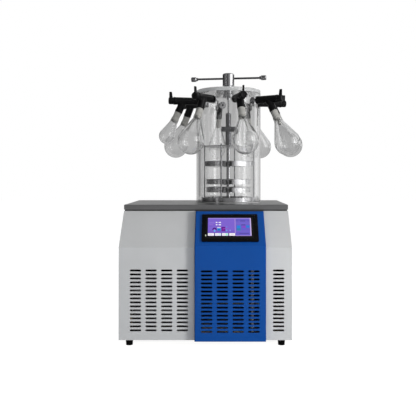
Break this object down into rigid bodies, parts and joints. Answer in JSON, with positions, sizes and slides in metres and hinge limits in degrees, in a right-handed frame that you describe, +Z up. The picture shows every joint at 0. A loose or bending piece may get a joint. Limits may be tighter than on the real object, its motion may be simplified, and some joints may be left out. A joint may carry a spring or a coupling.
{
  "type": "freeze dryer",
  "caption": "Bench freeze dryer: sheet-metal cabinet with a touch screen, clear drying chamber with trays and a screw press, and rubber valves that hold glass flasks.",
  "frame": {"origin": "on the floor, at the middle of the cabinet's footprint", "axes": "+X to the right seen from the front, +Y to the back, +Z up"},
  "size_m": [0.6944, 0.6884, 1.003],
  "materials": {
    "grey_panel": "fine texture powder coat, light grey",
    "blue_panel": "smooth blue paint",
    "frame_steel": "plain grey primer",
    "foot_rubber": "black rubber",
    "worktop_steel": "brushed",
    "bezel_black": "gloss black",
    "screen": "lit touch screen",
    "trap_steel": "satin stainless steel",
    "copper": "plain copper pipe",
    "foam": "closed-cell foam",
    "compressor_black": "black enamel",
    "fin_aluminium": "plain fins",
    "fan_black": "moulded black",
    "drain_brass": "plain brass",
    "lever_red": "dipped red lever",
    "clear_acrylic": "polished clear acrylic",
    "clear_glass": "blown clear glass",
    "valve_rubber": "satin black rubber",
    "ivory": "frosted ivory",
    "polished_steel": "polished stainless steel"
  },
  "bodies": {
    "cabinet": {"base_pan": "frame_steel", "chamber_cylinder": "clear_acrylic", "chamber_gasket": "foot_rubber", "chamber_lid": "clear_acrylic", "cold_trap": "trap_steel", "compressor": "compressor_black", "condenser": "fin_aluminium", "display_fascia": "blue_panel", "drain_cock": "drain_brass", "fan_frame": "fan_black", "feet": "foot_rubber", "flask_1": "clear_glass", "flask_2": "clear_glass", "flask_3": "clear_glass", "flask_4": "clear_glass", "flask_5": "clear_glass", "flask_6": "clear_glass", "flask_7": "clear_glass", "flask_8": "clear_glass", "front_panel_left": "grey_panel", "front_panel_right": "grey_panel", "hmi_bezel": "bezel_black", "hmi_screen": "screen", "lid_bush": "polished_steel", "neck_sleeves": "ivory", "port_nipples": "polished_steel", "power_inlet": "fan_black", "rack_base": "trap_steel", "rack_column": "polished_steel", "rack_rods": "polished_steel", "rear_panel": "grey_panel", "side_panel_left": "grey_panel", "side_panel_right": "grey_panel", "top_deck": "frame_steel", "trap_coil": "copper", "trap_insulation": "foam", "tray_1": "trap_steel", "tray_2": "trap_steel", "tray_3": "trap_steel", "vacuum_port": "trap_steel", "valve_bodies": "valve_rubber", "worktop": "worktop_steel", "worktop_seal": "foot_rubber"},
    "handle": {"handle_hub": "polished_steel", "handle_bar": "polished_steel", "handle_knobs": "polished_steel"},
    "press": {"press_screw": "polished_steel", "press_stem": "polished_steel", "press_plate": "polished_steel"},
    "fan": {"fan_rotor": "fan_black"},
    "rocker": {"power_rocker": "fan_black"},
    "drain_handle": {"drain_lever": "lever_red"},
    "valve_1": {"valve_plug_1": "valve_rubber"},
    "valve_2": {"valve_plug_2": "valve_rubber"},
    "valve_3": {"valve_plug_3": "valve_rubber"},
    "valve_4": {"valve_plug_4": "valve_rubber"},
    "valve_5": {"valve_plug_5": "valve_rubber"},
    "valve_6": {"valve_plug_6": "valve_rubber"},
    "valve_7": {"valve_plug_7": "valve_rubber"},
    "valve_8": {"valve_plug_8": "valve_rubber"}
  },
  "joints": [
    {"name": "handle_turn", "type": "hinge", "parent": "cabinet", "child": "handle", "pos_m": [0.086, 0.09, 0.953], "axis": [0, 0, -1], "range_deg": [0, 3600]},
    {"name": "press_slide", "type": "slide", "parent": "cabinet", "child": "press", "axis": [0, 0, -1], "range_m": [0, 0.04]},
    {"name": "fan_spin", "type": "hinge", "parent": "cabinet", "child": "fan", "pos_m": [-0.15, -0.194, 0.122], "axis": [0, 1, 0], "continuous": true},
    {"name": "rocker_tilt", "type": "hinge", "parent": "cabinet", "child": "rocker", "pos_m": [-0.22, 0.267, 0.125], "axis": [-1, 0, 0], "range_deg": [0, 16]},
    {"name": "drain_turn", "type": "hinge", "parent": "cabinet", "child": "drain_handle", "pos_m": [0.086, 0.299, 0.132], "axis": [0, 0, -1], "range_deg": [0, 90]},
    {"name": "valve_turn_1", "type": "hinge", "parent": "cabinet", "child": "valve_1", "pos_m": [0.12929, -0.10526, 0.887], "axis": [0.2164, -0.9763, 0], "range_deg": [0, 180]},
    {"name": "valve_turn_2", "type": "hinge", "parent": "cabinet", "child": "valve_2", "pos_m": [0.25468, -0.01746, 0.887], "axis": [0.8434, -0.5373, 0], "range_deg": [0, 180]},
    {"name": "valve_turn_3", "type": "hinge", "parent": "cabinet", "child": "valve_3", "pos_m": [0.28126, 0.13329, 0.887], "axis": [0.9763, 0.2164, 0], "range_deg": [0, 180]},
    {"name": "valve_turn_4", "type": "hinge", "parent": "cabinet", "child": "valve_4", "pos_m": [0.19346, 0.25868, 0.887], "axis": [0.5373, 0.8434, 0], "range_deg": [0, 180]},
    {"name": "valve_turn_5", "type": "hinge", "parent": "cabinet", "child": "valve_5", "pos_m": [0.04271, 0.28526, 0.887], "axis": [-0.2164, 0.9763, 0], "range_deg": [0, 180]},
    {"name": "valve_turn_6", "type": "hinge", "parent": "cabinet", "child": "valve_6", "pos_m": [-0.08268, 0.19746, 0.887], "axis": [-0.8434, 0.5373, 0], "range_deg": [0, 180]},
    {"name": "valve_turn_7", "type": "hinge", "parent": "cabinet", "child": "valve_7", "pos_m": [-0.10926, 0.04671, 0.887], "axis": [-0.9763, -0.2164, 0], "range_deg": [0, 180]},
    {"name": "valve_turn_8", "type": "hinge", "parent": "cabinet", "child": "valve_8", "pos_m": [-0.02146, -0.07868, 0.887], "axis": [-0.5373, -0.8434, 0], "range_deg": [0, 180]}
  ],
  "couplings": [
    {"joint": "press_slide", "follows": "handle_turn", "m_per_rad": 0.00063662}
  ]
}
